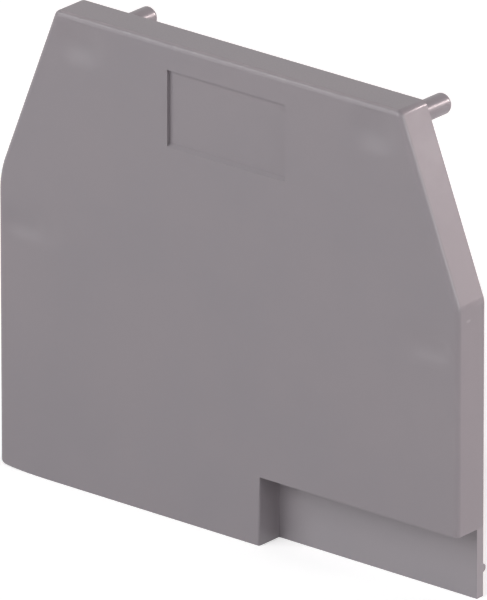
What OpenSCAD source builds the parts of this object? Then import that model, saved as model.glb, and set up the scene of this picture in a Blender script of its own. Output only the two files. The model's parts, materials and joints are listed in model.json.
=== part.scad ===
// End cover for a row of rail-mounted terminal blocks.
// One moulded plate with sloping shoulders, a rounded front rim, a marking recess, a stepped foot
// that leaves a thin tongue, two round pegs that plug into the last block and a small snap bead.
//
// X runs along the width, Y points from the plate to the terminal block and Z is up.
// The origin is on the back face, midway between the two pegs.

/* [Plate] */
// Width across the two upright sides
cover_w = 40; // [34:0.5:60]
// Height from the foot to the top edge
cover_h = 34.2; // [30:0.1:50]
// Thickness from the back face to the front face
cover_t = 2.8; // [1.8:0.1:4]
// Width of the flat top edge
top_w = 29.9; // [28:0.1:33]
// Height of the upright sides, below the sloping shoulders
side_h = 21.3; // [12:0.1:26]

/* [Edges] */
// Rounding of the front rim along the sides, the shoulders and the top
rim_r = 0.4; // [0.1:0.05:0.8]
// Corner radius at both ends of the top edge
top_corner_r = 0.5; // [0.2:0.05:1.5]
// Corner radius between the left side and its shoulder
left_shoulder_r = 6; // [1:0.5:12]
// Corner radius between the right side and its shoulder
right_shoulder_r = 1.2; // [0.6:0.1:12]
// Corner radius at the lower left
foot_corner_r = 0.5; // [0.2:0.05:2]

/* [Stepped foot] */
// Length of the step, from the right side
step_l = 17.1; // [8:0.1:24]
// Height of the step above the foot
step_h = 5; // [3.5:0.1:10]
// Thickness of the tongue that the step leaves at the back
tongue_t = 0.7; // [0.4:0.05:1.4]

/* [Marking recess] */
// Width of the marking recess
mark_w = 10.2; // [4:0.1:16]
// Height of the marking recess
mark_h = 5.5; // [3:0.1:9]
// Depth of the marking recess
mark_depth = 0.25; // [0.1:0.05:0.6]
// Distance from the top edge down to the marking recess
mark_drop = 1.9; // [1.2:0.1:5]

/* [Pegs] */
// Diameter of a peg
peg_d = 1.5; // [1:0.05:2.2]
// Length of a peg beyond the back face
peg_l = 4.65; // [2:0.05:8]
// Rounding at the tip of a peg
peg_tip_r = 0.35; // [0.1:0.05:0.45]
// Distance between the two peg axes
peg_pitch = 25.5; // [18:0.1:27]
// Distance from the top edge down to the peg axes
peg_drop = 2.05; // [1.4:0.05:4]

/* [Snap bead] */
// Radius of the half-round bead on the back of the tongue
bead_r = 0.3; // [0.15:0.05:0.45]
// Length of the bead, from the right side
bead_l = 5; // [2:0.5:7.5]
// Height of the bead's centre line above the foot
bead_rise = 2; // [1:0.1:3]

/* [Hidden] */
$fn = 96;

// Facets in a full turn of the plate's corners and of its rim
corner_facets = 64;
rim_facets = 32;

// How far a cutting shape reaches past the face that it cuts
overcut = 1;

top_z = peg_drop;
foot_z = top_z - cover_h;
shoulder_z = foot_z + side_h;

// Lean of the shoulders from the upright
shoulder_lean = atan2((cover_w - top_w) / 2, cover_h - side_h);

// The rim rounding stays inside the corner radii that it runs around
rim = min(rim_r, top_corner_r, left_shoulder_r, right_shoulder_r);

// Distance from a corner to where its arc starts, for an arc that turns by the given angle
function setback(r, turn) = r * tan(turn / 2);

// Section of a corner disc or a foot bar, from its axis outwards, with the outer front edge rounded
module rim_section(w) {
    square([w, cover_t - rim]);
    square([w - rim, cover_t]);
    intersection() {
        translate([w - rim, cover_t - rim])
            circle(rim, $fn = rim_facets);
        square([w, cover_t]);
    }
}

// A disc that rounds the corner between an upright side and its shoulder
module shoulder_disc(side, r) {
    translate([side * (cover_w / 2 - r), shoulder_z - setback(r, shoulder_lean), 0])
        rotate_extrude($fn = corner_facets)
            rim_section(r);
}

// A disc that rounds the corner between a shoulder and the top edge
module top_disc(side, r) {
    translate([side * (top_w / 2 - setback(r, 90 - shoulder_lean)), top_z - r, 0])
        rotate_extrude($fn = corner_facets)
            rim_section(r);
}

// A low bar that carries the rounded rim of one upright side down to the square foot
module foot_bar(side) {
    bar_w = 2 * rim;
    translate([side * (cover_w / 2 - bar_w), foot_z + bar_w, 0])
        mirror([side < 0 ? 1 : 0, 0, 0])
            rotate([90, 0, 0])
                linear_extrude(bar_w)
                    rim_section(bar_w);
}

// What lies outside the arc at the lower left corner
module foot_corner() {
    translate([-cover_w / 2, foot_z, -overcut])
        difference() {
            translate([-overcut, -overcut, 0])
                cube([foot_corner_r + overcut, foot_corner_r + overcut, cover_t + 2 * overcut]);
            translate([foot_corner_r, foot_corner_r, -overcut])
                cylinder(h = cover_t + 4 * overcut, r = foot_corner_r);
        }
}

module plate() {
    difference() {
        hull() {
            shoulder_disc(-1, left_shoulder_r);
            shoulder_disc(1, right_shoulder_r);
            for (side = [-1, 1]) {
                top_disc(side, top_corner_r);
                foot_bar(side);
            }
        }
        foot_corner();
    }
}

// The front layer is cut away at the lower right, down to the tongue
module stepped_foot() {
    translate([cover_w / 2 - step_l, foot_z - overcut, tongue_t])
        cube([step_l + overcut, step_h + overcut, cover_t]);
}

module marking_recess() {
    translate([-mark_w / 2, top_z - mark_drop - mark_h, cover_t - mark_depth])
        cube([mark_w, mark_h, mark_depth + overcut]);
}

// A round peg along -z, rooted in the plate, with a flat tip and a rounded tip edge
module peg() {
    peg_r = peg_d / 2;
    root = cover_t / 2;
    shank_l = root + peg_l - peg_tip_r;
    translate([0, 0, root])
        mirror([0, 0, 1])
            rotate_extrude() {
                square([peg_r, shank_l]);
                square([peg_r - peg_tip_r, shank_l + peg_tip_r]);
                intersection() {
                    translate([peg_r - peg_tip_r, shank_l])
                        circle(peg_tip_r);
                    square([peg_r, shank_l + peg_tip_r]);
                }
            }
}

module snap_bead() {
    translate([cover_w / 2 - bead_l, foot_z + bead_rise, 0])
        rotate([0, 90, 0])
            cylinder(h = bead_l, r = bead_r);
}

// Drawn lying on its back face, then stood up with the front towards -Y
module end_cover() {
    color([0.56, 0.54, 0.56])
        rotate([90, 0, 0])
            difference() {
                union() {
                    plate();
                    for (side = [-1, 1])
                        translate([side * peg_pitch / 2, 0, 0])
                            peg();
                    snap_bead();
                }
                stepped_foot();
                marking_recess();
            }
}

end_cover();
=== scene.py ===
import json
import math
from contextlib import contextmanager
from types import SimpleNamespace

import bmesh
import bpy
from mathutils import Matrix, Vector


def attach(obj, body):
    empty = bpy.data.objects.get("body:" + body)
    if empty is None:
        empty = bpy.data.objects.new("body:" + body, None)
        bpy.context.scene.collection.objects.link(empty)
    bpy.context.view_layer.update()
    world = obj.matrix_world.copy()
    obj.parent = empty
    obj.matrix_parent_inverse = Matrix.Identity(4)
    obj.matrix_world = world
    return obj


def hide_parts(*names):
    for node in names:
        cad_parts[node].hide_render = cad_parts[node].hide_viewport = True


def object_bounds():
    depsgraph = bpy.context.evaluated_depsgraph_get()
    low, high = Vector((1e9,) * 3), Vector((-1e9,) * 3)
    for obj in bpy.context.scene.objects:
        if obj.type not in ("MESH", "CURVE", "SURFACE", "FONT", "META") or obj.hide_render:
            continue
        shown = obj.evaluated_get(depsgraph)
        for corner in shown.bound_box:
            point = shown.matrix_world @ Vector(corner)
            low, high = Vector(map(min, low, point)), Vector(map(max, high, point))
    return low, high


bl_info = {
    "name": "Terminal Block End Cover",
    "version": (1, 0, 0),
    "blender": (4, 5, 0),
    "location": "3D View > Sidebar > End Cover",
    "description": "Models a moulded end cover for rail-mounted terminal blocks and its studio",
    "category": "Object",
}

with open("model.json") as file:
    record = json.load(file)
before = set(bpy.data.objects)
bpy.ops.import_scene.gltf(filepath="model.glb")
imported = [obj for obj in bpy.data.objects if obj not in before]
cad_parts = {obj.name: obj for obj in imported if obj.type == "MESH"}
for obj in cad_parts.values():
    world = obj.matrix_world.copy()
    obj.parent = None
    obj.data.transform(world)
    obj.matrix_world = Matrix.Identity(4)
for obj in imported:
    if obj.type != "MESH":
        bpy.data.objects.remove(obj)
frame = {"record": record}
cad_low, cad_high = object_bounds()
mounts = {mount["name"]: mount for mount in frame["record"]["mounts"]}
left_peg = mounts["left_peg"]
right_peg = mounts["right_peg"]

MM_PER_M = 1000
WHITE = (1, 1, 1)

# Facets across each kind of rounded edge, and around a peg
RIM_SEGMENTS = 8
SHOULDER_SEGMENTS = 10
CORNER_SEGMENTS = 8
WALL_SEGMENTS = 4
BACK_SEGMENTS = 3
PEG_SIDES = 64

# Bevel profile of a circular rounding, the share of its radius that the bead is rounded by, and the
# angle between two faces up to which their shading is smooth
CIRCLE_PROFILE = 0.5
BEAD_FULLNESS = 0.97
SMOOTH_ANGLE = math.radians(40)

# In millimetres, the room that a cutting block takes past the face it cuts, how near two places are
# that count as one, and half the border of the painted glow on the thin foot
OVERCUT = 1.0
NEAR = 0.001
BORDER = 0.1

# Least length along Y of the normal of a face that counts as flat
FLAT = 0.999

# The two rows of points that are pushed in for a side's sink mark, as shares of its reach and length
SINK_ROWS = (1, 0.7)

# Middle and half lengths, in metres, of two pale places: a fleck on the right side and blotches at the
# upper end of the right shoulder, partly painted sheen. The last number is the share of the half lengths
# that is pale evenly
FLECK = ((0.0200, -0.0017, -0.0119), (0.0003, 0.0003, 0.00014))
SHEEN_BLOTCHES = ((0.0165, -0.0012, -0.0016), (0.0040, 0.0024, 0.0046))
EVEN_SHARE = 0.4

# Values between which the noise textures are spread out, and their detail
NOISE_RANGE = (0.35, 0.65)
CLOUD_DETAIL = 3
FINE_DETAIL = 2

# Range of a normal's X over which a face starts to take the fleck and the painted sheen, and of its Y
# over which the painted glow of the thin foot stops
RIGHT_TURN = (0.85, 0.93)
BACK_TURN = (0.5, 0.9)

# The camera sees from its distance divided by this number to its distance times this number
CLIP_RATIO = 100


def length(name, description, default):
    """A length in metres, which the sidebar shows in the scene's unit."""
    return bpy.props.FloatProperty(
        name=name, description=description, default=default, unit="LENGTH", precision=5
    )


def colour(name, description, default):
    """A colour in linear light."""
    return bpy.props.FloatVectorProperty(
        name=name, description=description, default=default, subtype="COLOR", min=0, max=1
    )


def number(name, description, default):
    """A plain number."""
    return bpy.props.FloatProperty(name=name, description=description, default=default, precision=4)


def angle(name, description, degrees):
    """An angle, given in degrees."""
    return bpy.props.FloatProperty(
        name=name, description=description, default=math.radians(degrees), subtype="ANGLE"
    )


class EndCoverSizes(bpy.types.PropertyGroup):
    """Sizes of the moulded cover."""

    width: length("Width", "Across the two upright sides", cad_high.x - cad_low.x)
    height: length("Height", "From the foot to the top edge", cad_high.z - cad_low.z)
    thickness: length("Thickness", "From the back face to the front face", -cad_low.y)
    top: length("Top", "Height of the top edge above the peg axes", cad_high.z)
    top_width: length("Top width", "Width of the flat top edge", 0.0299)
    side_height: length("Side height", "Upright sides, below the sloping shoulders", 0.0213)
    rim_radius: length("Rim radius", "Rounding of the front rim", 0.0004)
    top_corner_radius: length("Top corner radius", "Ends of the top edge", 0.0005)
    left_shoulder_radius: length("Left shoulder radius", "Left side to its shoulder", 0.006)
    right_shoulder_radius: length("Right shoulder radius", "Right side to its shoulder", 0.0012)
    foot_corner_radius: length("Foot corner radius", "Lower left corner", 0.0005)
    back_edge_radius: length("Back edge radius", "Mould rounding of the back edge", 0.00006)
    wall_edge_radius: length("Wall edge radius", "Front edge of the step's wall", 0.00015)
    step_length: length("Step length", "Stepped foot, from the right side", 0.0171)
    step_height: length("Step height", "Stepped foot, above the foot", 0.005)
    tongue_thickness: length("Tongue thickness", "What the step leaves at the back", 0.0007)
    mark_width: length("Mark width", "Width of the marking recess", 0.0102)
    mark_height: length("Mark height", "Height of the marking recess", 0.0055)
    mark_depth: length("Mark depth", "Depth of the marking recess", 0.00025)
    mark_drop: length("Mark drop", "From the top edge down to the marking recess", 0.0019)
    mark_draft: length("Mark draft", "Rise of the recess's lower wall over its depth", 0.000215)
    peg_radius: length("Peg radius", "Radius of a peg", right_peg["dims"]["r_mm"] / MM_PER_M)
    peg_length: length("Peg length", "From the back face to the tip", cad_high.y)
    peg_shank: length(
        "Peg shank",
        "Straight part of a peg, below its rounded tip",
        right_peg["dims"]["length_mm"] / MM_PER_M,
    )
    peg_pitch: length(
        "Peg pitch",
        "Between the two peg axes",
        right_peg["pos_m"][0] - left_peg["pos_m"][0],
    )
    bead_radius: length("Bead radius", "Half-round snap bead on the back of the tongue", 0.0003)
    bead_length: length("Bead length", "From the right side", 0.005)
    bead_rise: length("Bead rise", "Centre line of the bead above the foot", 0.002)
    peg_sink_reach: length("Peg sink reach", "Reach of the sink marks opposite the pegs", 0.0020)
    peg_sink_rise: length("Peg sink rise", "Middle of those marks above the peg axes", 0.0002)
    peg_sink_half: length("Peg sink half width", "Level bottom of those marks, to either side", 0.0005)
    peg_sink_depth: length("Peg sink depth", "Depth of those marks", 0.00022)
    side_sink_reach: length("Side sink reach", "Reach of the sink marks at the two sides", 0.0016)
    side_sink_drop: length("Side sink drop", "From the top edge down to those marks", 0.01605)
    side_sink_length: length("Side sink length", "From the side, along those marks", 0.004)
    side_sink_depth: length("Side sink depth", "Depth of those marks", 0.00016)
    sink_mesh: length("Sink mesh", "Spacing of the mesh lines in a sink mark", 0.00025)


class EndCoverFinish(bpy.types.PropertyGroup):
    """Looks of the moulded plastic."""

    body_colour: colour("Body colour", "Main colour of the plastic", (0.230, 0.209, 0.227))
    cloud_colour: colour("Cloud colour", "Faint clouds in the plastic", (0.238, 0.214, 0.231))
    # Pale colour of the fleck, of the painted sheen on the right shoulder and of the painted glow on the
    # thin foot
    scuff_colour: colour("Scuff colour", "Rubbed or thin places of the plastic", (0.36, 0.34, 0.36))
    # Share of the pale colour painted on the thin foot as glow
    thin_paleness: number("Thin paleness", "Share of the scuff colour in the thin foot", 0.28)
    fleck_paleness: number("Fleck paleness", "Share of the scuff colour in the fleck", 0.45)
    # Pale blotches at the upper end of the right shoulder, partly painted sheen
    worn_low: number("Least worn", "Share of the scuff colour in the best patches of the worn end", 0.05)
    worn_high: number("Most worn", "Share of the scuff colour in its most rubbed patches", 0.2)
    worn_size: length("Worn patch size", "Size of the patches of the worn end", 0.0016)
    cloud_size: length("Cloud size", "Size of the clouds", 0.006)
    grain_size: length("Grain size", "Size of the mould grain", 0.00012)
    grain_depth: length("Grain depth", "Height of the mould grain", 0.000002)
    roughness_low: number("Lowest roughness", "Smoothest spots of the grain", 0.28)
    roughness_high: number("Highest roughness", "Dullest spots of the grain", 0.38)
    refraction: number("Refractive index", "How strongly the surface mirrors", 1.5)


class EndCoverStudio(bpy.types.PropertyGroup):
    """Camera and light."""

    azimuth: angle("Azimuth", "Camera's turn to the right of straight ahead", 39.656)
    elevation: angle("Elevation", "Camera's height above the horizon", 21.599)
    roll: angle("Roll", "Camera's turn about its own line of sight", -0.024)
    distance: length("Distance", "From the camera to the point it looks at", 1.3)
    view_height: length("View height", "Height of the picture at that point", 0.040250)
    look_x: length("Look at X", "Point at the picture's centre, along X", -0.000789)
    look_z: length("Look at Z", "Point at the picture's centre, along Z", -0.016151)
    light_distance: length("Light distance", "From each light to that point", 0.5)
    key_power: number("Key light", "Power of the large light in front, in watts", 1.42)
    front_power: number("Front light", "Power of the low light at the front left, in watts", 0.22)
    rim_power: number("Rim light", "Power of the small high light at the front left, in watts", 0.40)
    top_power: number("Top light", "Power of the high light at the back left, in watts", 0.25)
    right_power: number("Right light", "Power of the large light at the right, in watts", 1.46)
    fill_power: number("Fill light", "Power of the large light at the front right, in watts", 0.23)
    shoulder_power: number("Shoulder light", "Power of the right shoulder's light, in watts", 0.19)
    back_power: number("Back light", "Power of the small light at the back right, in watts", 1.15)
    back_tint: colour("Back tint", "Colour of the three lights at the back", (1, 0.84, 0.84))
    floor_size: length("Floor size", "Length of the floor's sides", 1.2)
    floor_colour: colour("Floor colour", "Colour of the floor", (0.8, 0.8, 0.8))
    floor_glow: number("Floor glow", "White that the floor shows besides its lit colour", 0.52)


def in_millimetres(sizes):
    """The cover's sizes in millimetres, by name, with the places that follow from them."""
    names = EndCoverSizes.__annotations__
    s = SimpleNamespace(**{name: getattr(sizes, name) * MM_PER_M for name in names})
    s.foot = s.top - s.height
    s.shoulder = s.foot + s.side_height
    s.right = s.width / 2
    s.front = -s.thickness
    s.wall = s.right - s.step_length
    s.ceiling = s.foot + s.step_height
    s.lean = math.atan2((s.width - s.top_width) / 2, s.height - s.side_height)
    return s


def same(first, second):
    """Whether two places along an axis count as one."""
    return abs(first - second) < NEAR


def select_only(piece):
    """Makes one piece the active one, with nothing else selected."""
    bpy.ops.object.select_all(action="DESELECT")
    piece.select_set(True)
    bpy.context.view_layer.objects.active = piece


@contextmanager
def edit_mode(piece):
    """Edits one piece's mesh, with nothing else selected."""
    select_only(piece)
    bpy.ops.object.mode_set(mode="EDIT")
    yield
    bpy.ops.object.mode_set(mode="OBJECT")


def pick_edges(piece, test):
    """In edit mode, selects the edges whose two ends pass the test."""
    bpy.ops.mesh.select_mode(type="EDGE")
    bpy.ops.mesh.select_all(action="DESELECT")
    mesh = bmesh.from_edit_mesh(piece.data)
    for edge in mesh.edges:
        if test(edge.verts[0].co, edge.verts[1].co):
            edge.select_set(True)
    bmesh.update_edit_mesh(piece.data)


def pick_faces(piece, test):
    """In edit mode, selects the faces whose centre and normal pass the test."""
    bpy.ops.mesh.select_mode(type="FACE")
    bpy.ops.mesh.select_all(action="DESELECT")
    mesh = bmesh.from_edit_mesh(piece.data)
    for face in mesh.faces:
        if test(face.calc_center_median(), face.normal):
            face.select_set(True)
    bmesh.update_edit_mesh(piece.data)


def pick_vertices(piece, test):
    """In edit mode, selects the vertices whose place passes the test."""
    bpy.ops.mesh.select_mode(type="VERT")
    bpy.ops.mesh.select_all(action="DESELECT")
    mesh = bmesh.from_edit_mesh(piece.data)
    for vertex in mesh.verts:
        if test(vertex.co):
            vertex.select_set(True)
    bmesh.update_edit_mesh(piece.data)


def round_picked(offset, segments):
    """In edit mode, rounds the selected edges, from the given distance on either side."""
    bpy.ops.mesh.bevel(
        offset_type="OFFSET",
        offset=offset,
        segments=segments,
        profile=CIRCLE_PROFILE,
        affect="EDGES",
        clamp_overlap=False,
    )


def pick_flat(piece, y, inside):
    """In edit mode, selects the faces that lie flat at a depth, where their centre is inside."""
    pick_faces(
        piece,
        lambda centre, normal: abs(normal.y) > FLAT and same(centre.y, y) and inside(centre),
    )


def draw_line(piece, y, place, direction, inside=lambda centre: True):
    """In edit mode, draws a straight mesh line through a place on a flat face, across a direction."""
    pick_flat(piece, y, inside)
    bpy.ops.mesh.bisect(plane_co=place, plane_no=direction)


def add_block(name, low, high):
    """A block between two corners, with its place in its mesh."""
    low, high = Vector(low), Vector(high)
    bpy.ops.object.select_all(action="DESELECT")
    bpy.ops.mesh.primitive_cube_add(size=1, location=(low + high) / 2, scale=high - low)
    block = bpy.context.active_object
    block.name = name
    bpy.ops.object.transform_apply(location=True, rotation=True, scale=True)
    return block


def apply_modifier(piece, modifier):
    """Applies a modifier to its piece."""
    select_only(piece)
    bpy.ops.object.modifier_apply(modifier=modifier.name)


def combine(piece, other, operation):
    """Adds another solid to a piece, or cuts it away, and removes the other solid."""
    modifier = piece.modifiers.new(operation.title(), "BOOLEAN")
    modifier.operation = operation
    modifier.solver = "EXACT"
    modifier.object = other
    apply_modifier(piece, modifier)
    bpy.data.objects.remove(other)


def model_plate(s):
    """The plain plate: a block with two sloping shoulders."""
    plate = add_block("end_cover_moulding", (-s.right, s.front, s.foot), (s.right, 0, s.top))
    with edit_mode(plate):
        for side in (-1, 1):
            bpy.ops.mesh.select_all(action="SELECT")
            bpy.ops.mesh.bisect(
                plane_co=(side * s.right, 0, s.shoulder),
                plane_no=(side * math.cos(s.lean), 0, math.sin(s.lean)),
                use_fill=True,
                clear_outer=True,
            )
    return plate


def cut_step(plate, s):
    """Cuts the stepped foot, which leaves the tongue at the back."""
    step = add_block(
        "step",
        (s.wall, s.front - OVERCUT, s.foot - OVERCUT),
        (s.right + OVERCUT, -s.tongue_thickness, s.ceiling),
    )
    combine(plate, step, "DIFFERENCE")


def round_corners(plate, s):
    """Rounds the corners of the outline, the front rim, the step's front edge and the back edge."""
    top_turn = math.pi / 2 - s.lean
    # Each rounded corner: its X and Z, its radius, the angle it turns by and its facets
    corners = (
        (-s.right, s.shoulder, s.left_shoulder_radius, s.lean, SHOULDER_SEGMENTS),
        (s.right, s.shoulder, s.right_shoulder_radius, s.lean, CORNER_SEGMENTS),
        (-s.top_width / 2, s.top, s.top_corner_radius, top_turn, CORNER_SEGMENTS),
        (s.top_width / 2, s.top, s.top_corner_radius, top_turn, CORNER_SEGMENTS),
        (-s.right, s.foot, s.foot_corner_radius, math.pi / 2, CORNER_SEGMENTS),
    )

    def on_rim(a, b):
        in_front = max(a.y, b.y) < s.front + NEAR
        on_foot = max(a.z, b.z) < s.foot + NEAR
        on_wall = min(a.x, b.x) > s.wall - NEAR and max(a.z, b.z) < s.ceiling + NEAR
        return in_front and not on_foot and not on_wall

    def on_wall_edge(a, b):
        return all(same(p.x, s.wall) and same(p.y, s.front) for p in (a, b))

    with edit_mode(plate):
        for x, z, radius, turn, segments in corners:
            pick_edges(plate, lambda a, b: all(same(p.x, x) and same(p.z, z) for p in (a, b)))
            round_picked(radius * math.tan(turn / 2), segments)
        pick_edges(plate, on_rim)
        round_picked(s.rim_radius, RIM_SEGMENTS)
        pick_edges(plate, on_wall_edge)
        round_picked(s.wall_edge_radius, WALL_SEGMENTS)
        pick_edges(plate, lambda a, b: same(a.y, 0) and same(b.y, 0))
        round_picked(s.back_edge_radius, BACK_SEGMENTS)


def press_mark(plate, s):
    """Presses the marking recess into the front."""
    high = s.top - s.mark_drop
    low = high - s.mark_height
    half = s.mark_width / 2
    with edit_mode(plate):
        for x in (-half, half):
            draw_line(plate, s.front, (x, 0, 0), (1, 0, 0))
        for z in (low, high):
            draw_line(plate, s.front, (0, 0, z), (0, 0, 1), lambda centre: abs(centre.x) < half)
        pick_flat(plate, s.front, lambda centre: abs(centre.x) < half and low < centre.z < high)
        bpy.ops.mesh.extrude_region_move(TRANSFORM_OT_translate={"value": (0, s.mark_depth, 0)})
        floor = s.front + s.mark_depth
        pick_vertices(plate, lambda p: same(p.y, floor) and same(p.z, low))
        bpy.ops.transform.translate(value=(0, 0, s.mark_draft))


def steps_between(low, high, spacing):
    """Even steps from just above one number to just below another."""
    count = round((high - low) / spacing)
    return [low + (high - low) * step / count for step in range(1, count)]


def draw_net(plate, s, low, high):
    """In edit mode, draws a fine net of mesh lines on the front, between two corners in X and Z."""

    def across(centre):
        return low[0] < centre.x < high[0]

    def inside(centre):
        return across(centre) and low[1] < centre.z < high[1]

    for x in (low[0], high[0]):
        draw_line(plate, s.front, (x, 0, 0), (1, 0, 0))
    for z in (low[1], high[1]):
        draw_line(plate, s.front, (0, 0, z), (0, 0, 1), across)
    for x in steps_between(low[0], high[0], s.sink_mesh):
        draw_line(plate, s.front, (x, 0, 0), (1, 0, 0), inside)
    for z in steps_between(low[1], high[1], s.sink_mesh):
        draw_line(plate, s.front, (0, 0, z), (0, 0, 1), inside)


def push_in(plate, s, x_low, x_high, z, depth, reach):
    """In edit mode, presses a level row of points of the front inwards, and what is near it with it."""
    near = s.sink_mesh / 2 + NEAR
    deepest = s.front + s.rim_radius / 2

    def on_row(p):
        return x_low - near < p.x < x_high + near and abs(p.z - z) < near and p.y < deepest

    pick_vertices(plate, on_row)
    bpy.ops.transform.translate(
        value=(0, depth, 0),
        use_proportional_edit=True,
        proportional_edit_falloff="SMOOTH",
        proportional_size=reach,
    )


def sink_front(plate, s):
    """Draws in the front where thick plastic shrank: opposite the pegs and at the two sides."""
    flat_top = s.top - s.rim_radius
    flat_side = s.right - s.rim_radius
    level = s.top - s.side_sink_drop
    inner = flat_side - s.side_sink_length - s.side_sink_reach
    with edit_mode(plate):
        for side in (-1, 1):
            peg_x = side * s.peg_pitch / 2
            low_x, high_x = peg_x - s.peg_sink_half, peg_x + s.peg_sink_half
            reach = s.peg_sink_reach
            z = s.peg_sink_rise
            draw_net(plate, s, (low_x - reach, z - reach), (high_x + reach, min(z + reach, flat_top)))
            push_in(plate, s, low_x, high_x, z, s.peg_sink_depth, reach)

            reach = s.side_sink_reach
            low_x, high_x = sorted((side * inner, side * flat_side))
            draw_net(plate, s, (low_x, level - reach), (high_x, level + reach))
            # Two rows, one shorter and narrower than the other, both clear of the rim
            for share in SINK_ROWS:
                reach = share * s.side_sink_reach
                ends = (flat_side - reach, flat_side - share * s.side_sink_length)
                low_x, high_x = sorted(side * x for x in ends)
                push_in(plate, s, low_x, high_x, level, s.side_sink_depth / 2, reach)


def add_bead(plate, s):
    """Raises the half-round snap bead on the back of the tongue."""
    start = s.right - s.bead_length
    low = s.foot + s.bead_rise - s.bead_radius
    high = s.foot + s.bead_rise + s.bead_radius
    with edit_mode(plate):
        draw_line(plate, 0, (start, 0, 0), (1, 0, 0))
        for z in (low, high):
            draw_line(plate, 0, (0, 0, z), (0, 0, 1), lambda centre: centre.x > start)
        pick_flat(plate, 0, lambda centre: centre.x > start and low < centre.z < high)
        bpy.ops.mesh.extrude_region_move(TRANSFORM_OT_translate={"value": (0, s.bead_radius, 0)})
        pick_edges(plate, lambda a, b: min(a.y, b.y) > s.bead_radius - NEAR and same(a.z, b.z))
        round_picked(s.bead_radius * BEAD_FULLNESS, CORNER_SEGMENTS)


def add_pegs(plate, s):
    """Adds the two pegs, which are rooted in the plate and have rounded tips."""
    root = s.front / 2
    bpy.ops.object.select_all(action="DESELECT")
    bpy.ops.mesh.primitive_cylinder_add(
        vertices=PEG_SIDES,
        radius=s.peg_radius,
        depth=s.peg_length - root,
        location=(-s.peg_pitch / 2, (s.peg_length + root) / 2, 0),
        rotation=(-math.pi / 2, 0, 0),
    )
    first = bpy.context.active_object
    first.name = "peg"
    bpy.ops.object.transform_apply(location=True, rotation=True, scale=True)
    with edit_mode(first):
        pick_edges(first, lambda a, b: min(a.y, b.y) > s.peg_length - NEAR)
        round_picked(s.peg_length - s.peg_shank, CORNER_SEGMENTS)
    second = first.copy()
    second.data = first.data.copy()
    bpy.context.collection.objects.link(second)
    second.data.transform(Matrix.Translation((s.peg_pitch, 0, 0)))
    for peg in (first, second):
        combine(plate, peg, "UNION")


def finish_moulding(plate):
    """Tidies the mesh, goes from millimetres to metres and smooths the shading."""
    with edit_mode(plate):
        bpy.ops.mesh.select_all(action="SELECT")
        bpy.ops.mesh.remove_doubles(threshold=NEAR)
        bpy.ops.mesh.normals_make_consistent(inside=False)
        bpy.ops.mesh.select_mode(type="FACE")
        bpy.ops.mesh.select_all(action="DESELECT")
        bpy.ops.mesh.select_face_by_sides(number=4, type="GREATER")
        bpy.ops.mesh.quads_convert_to_tris(ngon_method="BEAUTY")
    plate.scale = Vector((1, 1, 1)) / MM_PER_M
    bpy.ops.object.transform_apply(location=True, rotation=True, scale=True)
    bpy.ops.object.shade_smooth_by_angle(angle=SMOOTH_ANGLE)
    even = plate.modifiers.new("Even normals", "WEIGHTED_NORMAL")
    even.keep_sharp = True
    apply_modifier(plate, even)


class Nodes:
    """Adds and links the nodes of one material or world."""

    def __init__(self, tree):
        self.tree = tree
        tree.nodes.clear()

    def add(self, kind, **settings):
        """Adds a node and sets its options."""
        node = self.tree.nodes.new(kind)
        for name, value in settings.items():
            setattr(node, name, value)
        return node

    def link(self, source, target):
        """Links an output to an input."""
        self.tree.links.new(source, target)

    def feed(self, value, target):
        """Sets an input to a value, or links it where the value is an output."""
        if isinstance(value, bpy.types.NodeSocket):
            self.link(value, target)
        else:
            target.default_value = value

    def noise(self, place, size, detail):
        """Soft noise with features of about the given size, in metres."""
        node = self.add("ShaderNodeTexNoise")
        node.inputs["Scale"].default_value = 1 / size
        node.inputs["Detail"].default_value = detail
        self.link(place, node.inputs["Vector"])
        return node.outputs["Fac"]

    def ramp(self, value, low, high, to_low=0.0, to_high=1.0):
        """Maps a value from one range to another and holds it there."""
        node = self.add("ShaderNodeMapRange")
        limits = {"From Min": low, "From Max": high, "To Min": to_low, "To Max": to_high}
        for name, limit in limits.items():
            node.inputs[name].default_value = limit
        self.link(value, node.inputs["Value"])
        return node.outputs["Result"]

    def around(self, place, middle, reach):
        """1 about a point and 0 past the given half lengths along the axes."""
        mapping = self.add("ShaderNodeMapping", vector_type="TEXTURE")
        mapping.inputs["Location"].default_value = middle
        mapping.inputs["Scale"].default_value = reach
        self.link(place, mapping.inputs["Vector"])
        distance = self.add("ShaderNodeVectorMath", operation="LENGTH")
        self.link(mapping.outputs["Vector"], distance.inputs[0])
        return self.ramp(distance.outputs["Value"], 1, EVEN_SHARE)

    def blend(self, factor, first, second):
        """Mixes two colours, each a colour or an output."""
        node = self.add("ShaderNodeMix", data_type="RGBA")
        self.link(factor, node.inputs["Factor"])
        for name, value in (("A", first), ("B", second)):
            self.feed(value, next(x for x in node.inputs if x.name == name and x.type == "RGBA"))
        return next(x for x in node.outputs if x.type == "RGBA")

    def maths(self, operation, first, second):
        """One sum on two numbers, each a number or an output."""
        node = self.add("ShaderNodeMath", operation=operation)
        for value, target in zip((first, second), node.inputs):
            self.feed(value, target)
        return node.outputs["Value"]


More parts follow.
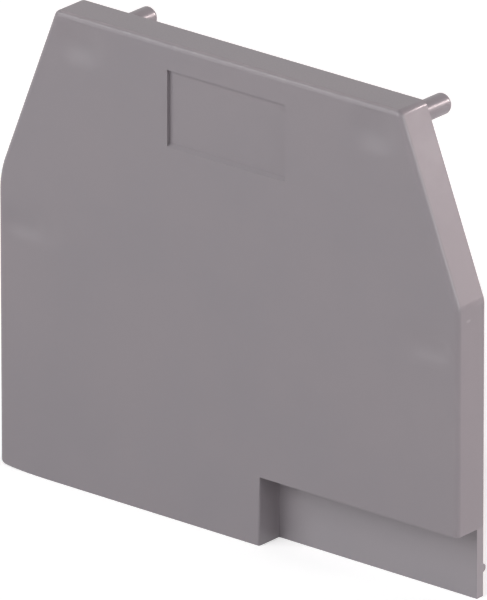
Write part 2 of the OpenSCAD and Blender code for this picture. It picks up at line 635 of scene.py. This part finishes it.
def moulded_plastic(finish, s):
    """Satin grey plastic with faint clouds and a fine grain, a pale fleck, pale blotches that are partly
    painted sheen, and a painted glow on the thin foot.
    """
    material = bpy.data.materials.new("satin_grey_plastic")
    material.use_nodes = True
    nodes = Nodes(material.node_tree)
    place = nodes.add("ShaderNodeTexCoord").outputs["Object"]
    along = nodes.add("ShaderNodeSeparateXYZ")
    nodes.link(place, along.inputs["Vector"])
    normal = nodes.add("ShaderNodeSeparateXYZ")
    nodes.link(nodes.add("ShaderNodeNewGeometry").outputs["Normal"], normal.inputs["Vector"])

    clouds = nodes.ramp(nodes.noise(place, finish.cloud_size, CLOUD_DETAIL), *NOISE_RANGE)
    body = nodes.blend(clouds, (*finish.body_colour, 1), (*finish.cloud_colour, 1))
    fleck = nodes.maths("MULTIPLY", nodes.around(place, *FLECK), finish.fleck_paleness)
    # Pale blotches at the upper end of the right shoulder, partly painted sheen
    patches = nodes.noise(place, finish.worn_size, FINE_DETAIL)
    patches = nodes.ramp(patches, *NOISE_RANGE, finish.worn_low, finish.worn_high)
    blotchy_sheen = nodes.maths("MULTIPLY", nodes.around(place, *SHEEN_BLOTCHES), patches)
    fleck_and_sheen = nodes.maths("MAXIMUM", fleck, blotchy_sheen)
    right_facing_fleck_and_sheen = nodes.maths("MULTIPLY", fleck_and_sheen, nodes.ramp(normal.outputs["X"], *RIGHT_TURN))
    # Painted glow: the thin foot is painted paler on its front, end and underside, but not on the flat
    # back
    thin = nodes.ramp(normal.outputs["Y"], *BACK_TURN, finish.thin_paleness, 0)
    for axis, inside, outside in (
        ("X", s.wall + BORDER, s.wall - BORDER),
        ("Y", -s.tongue_thickness - BORDER, -s.tongue_thickness - 3 * BORDER),
        ("Z", s.ceiling - BORDER, s.ceiling + BORDER),
    ):
        share = nodes.ramp(along.outputs[axis], outside / MM_PER_M, inside / MM_PER_M)
        thin = nodes.maths("MULTIPLY", share, thin)
    # The fleck, the painted sheen and the painted glow all mix towards one pale colour
    shade = nodes.blend(nodes.maths("MAXIMUM", right_facing_fleck_and_sheen, thin), body, (*finish.scuff_colour, 1))
    grain = nodes.noise(place, finish.grain_size, FINE_DETAIL)
    bump = nodes.add("ShaderNodeBump")
    bump.inputs["Distance"].default_value = finish.grain_depth
    nodes.link(grain, bump.inputs["Height"])

    shader = nodes.add("ShaderNodeBsdfPrincipled")
    shader.inputs["IOR"].default_value = finish.refraction
    nodes.link(shade, shader.inputs["Base Color"])
    roughness = nodes.ramp(grain, *NOISE_RANGE, finish.roughness_low, finish.roughness_high)
    nodes.link(roughness, shader.inputs["Roughness"])
    nodes.link(bump.outputs["Normal"], shader.inputs["Normal"])
    nodes.link(shader.outputs["BSDF"], nodes.add("ShaderNodeOutputMaterial").inputs["Surface"])
    return material


def seen_directly(nodes):
    """1 for what is seen straight on, mirrored or through glass, and 0 for light on things."""
    path = nodes.add("ShaderNodeLightPath").outputs
    seen = nodes.maths("MAXIMUM", path["Is Camera Ray"], path["Is Glossy Ray"])
    return nodes.maths("MAXIMUM", seen, path["Is Transmission Ray"])


def white_surround():
    """A world that looks white, and leaves the lighting of matte surfaces to the lights."""
    world = bpy.data.worlds.new("white_surround")
    world.use_nodes = True
    nodes = Nodes(world.node_tree)
    background = nodes.add("ShaderNodeBackground")
    background.inputs["Color"].default_value = (*WHITE, 1)
    nodes.link(seen_directly(nodes), background.inputs["Strength"])
    nodes.link(background.outputs["Background"], nodes.add("ShaderNodeOutputWorld").inputs["Surface"])
    bpy.context.scene.world = world


def pale_floor(studio):
    """A plain pale floor under the foot, which looks white where no shadow falls."""
    bpy.ops.object.select_all(action="DESELECT")
    bpy.ops.mesh.primitive_plane_add(size=studio.floor_size, location=(0, 0, cad_low.z))
    floor = bpy.context.active_object
    floor.name = "floor"
    material = bpy.data.materials.new("pale_floor")
    material.use_nodes = True
    nodes = Nodes(material.node_tree)
    matte = nodes.add("ShaderNodeBsdfDiffuse")
    matte.inputs["Color"].default_value = (*studio.floor_colour, 1)
    glow = nodes.add("ShaderNodeEmission")
    strength = nodes.maths("MULTIPLY", seen_directly(nodes), studio.floor_glow)
    nodes.link(strength, glow.inputs["Strength"])
    both = nodes.add("ShaderNodeAddShader")
    nodes.link(matte.outputs["BSDF"], both.inputs[0])
    nodes.link(glow.outputs["Emission"], both.inputs[1])
    nodes.link(both.outputs["Shader"], nodes.add("ShaderNodeOutputMaterial").inputs["Surface"])
    floor.data.materials.append(material)


def outward(azimuth, elevation):
    """The direction from the object, by a turn to the right of its front and a height above level."""
    level = math.cos(elevation)
    return Vector((math.sin(azimuth) * level, -math.cos(azimuth) * level, math.sin(elevation)))


def add_light(studio, target, name, azimuth, elevation, size, power, tint):
    """A square light that faces the target, placed by angles in degrees."""
    lamp = bpy.data.lights.new(name, "AREA")
    lamp.size = size
    lamp.energy = power
    lamp.color = tint
    light = bpy.data.objects.new(name, lamp)
    bpy.context.collection.objects.link(light)
    toward = outward(math.radians(azimuth), math.radians(elevation))
    light.location = target + toward * studio.light_distance
    light.rotation_euler = toward.to_track_quat("Z", "Y").to_euler()
    light.visible_camera = False


def add_camera(studio, target):
    """The camera, with the target at the picture's centre."""
    camera_data = bpy.data.cameras.new("camera")
    camera = bpy.data.objects.new("camera", camera_data)
    bpy.context.collection.objects.link(camera)
    toward = outward(studio.azimuth, studio.elevation)
    turn = toward.to_track_quat("Z", "Y").to_matrix() @ Matrix.Rotation(studio.roll, 3, "Z")
    camera.location = target + toward * studio.distance
    camera.rotation_euler = turn.to_euler()
    camera_data.lens = camera_data.sensor_width * studio.distance / studio.view_height
    camera_data.clip_start = studio.distance / CLIP_RATIO
    camera_data.clip_end = studio.distance * CLIP_RATIO
    bpy.context.scene.camera = camera


class MouldEndCover(bpy.types.Operator):
    """Model the cover as one moulded piece, in place of the plain solid"""

    bl_idname = "end_cover.mould"
    bl_label = "Moulded cover"
    bl_options = {"REGISTER", "UNDO"}

    def execute(self, context):
        s = in_millimetres(context.scene.end_cover_sizes)
        plate = model_plate(s)
        cut_step(plate, s)
        round_corners(plate, s)
        press_mark(plate, s)
        sink_front(plate, s)
        add_bead(plate, s)
        add_pegs(plate, s)
        finish_moulding(plate)
        plate.data.materials.clear()
        plate.data.materials.append(moulded_plastic(context.scene.end_cover_finish, s))
        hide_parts("end_cover")
        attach(plate, "root")
        return {"FINISHED"}


class SetEndCoverStage(bpy.types.Operator):
    """Set up the floor, the light and the camera"""

    bl_idname = "end_cover.stage"
    bl_label = "Studio"
    bl_options = {"REGISTER", "UNDO"}

    def execute(self, context):
        studio = context.scene.end_cover_studio
        target = Vector((studio.look_x, 0, studio.look_z))
        context.scene.view_settings.view_transform = "Standard"
        white_surround()
        pale_floor(studio)
        # Each light: its name, azimuth and elevation in degrees, size in metres, power and tint
        lights = (
            ("key_light", -11, 30, 0.3, studio.key_power, WHITE),
            ("front_light", -38, 3, 0.12, studio.front_power, WHITE),
            ("rim_light", -50, 40, 0.06, studio.rim_power, WHITE),
            ("top_light", -110, 50, 0.15, studio.top_power, studio.back_tint),
            ("right_light", 92, 10, 0.3, studio.right_power, WHITE),
            ("fill_light", 45, 20, 0.3, studio.fill_power, WHITE),
            ("shoulder_light", 136, 12, 0.1, studio.shoulder_power, studio.back_tint),
            ("back_light", 150, 20, 0.05, studio.back_power, studio.back_tint),
        )
        for light in lights:
            add_light(studio, target, *light)
        add_camera(studio, target)
        return {"FINISHED"}


class EndCoverPanel(bpy.types.Panel):
    """Sizes, looks and steps of the end cover"""

    bl_idname = "VIEW3D_PT_end_cover"
    bl_label = "End Cover"
    bl_space_type = "VIEW_3D"
    bl_region_type = "UI"
    bl_category = "End Cover"

    def draw(self, context):
        scene = context.scene
        self.layout.operator(MouldEndCover.bl_idname)
        self.layout.operator(SetEndCoverStage.bl_idname)
        for group in (scene.end_cover_sizes, scene.end_cover_finish, scene.end_cover_studio):
            box = self.layout.box()
            for name in type(group).__annotations__:
                box.prop(group, name)


CLASSES = (
    EndCoverSizes,
    EndCoverFinish,
    EndCoverStudio,
    MouldEndCover,
    SetEndCoverStage,
    EndCoverPanel,
)


def register():
    """Registers the classes and gives the scene its settings."""
    for cls in CLASSES:
        bpy.utils.register_class(cls)
    bpy.types.Scene.end_cover_sizes = bpy.props.PointerProperty(type=EndCoverSizes)
    bpy.types.Scene.end_cover_finish = bpy.props.PointerProperty(type=EndCoverFinish)
    bpy.types.Scene.end_cover_studio = bpy.props.PointerProperty(type=EndCoverStudio)


def unregister():
    """Undoes what register does."""
    del bpy.types.Scene.end_cover_studio
    del bpy.types.Scene.end_cover_finish
    del bpy.types.Scene.end_cover_sizes
    for cls in reversed(CLASSES):
        bpy.utils.unregister_class(cls)


def main():
    """Models the cover and sets the stage."""
    register()
    bpy.ops.end_cover.mould()
    bpy.ops.end_cover.stage()


if __name__ == "__main__":
    main()
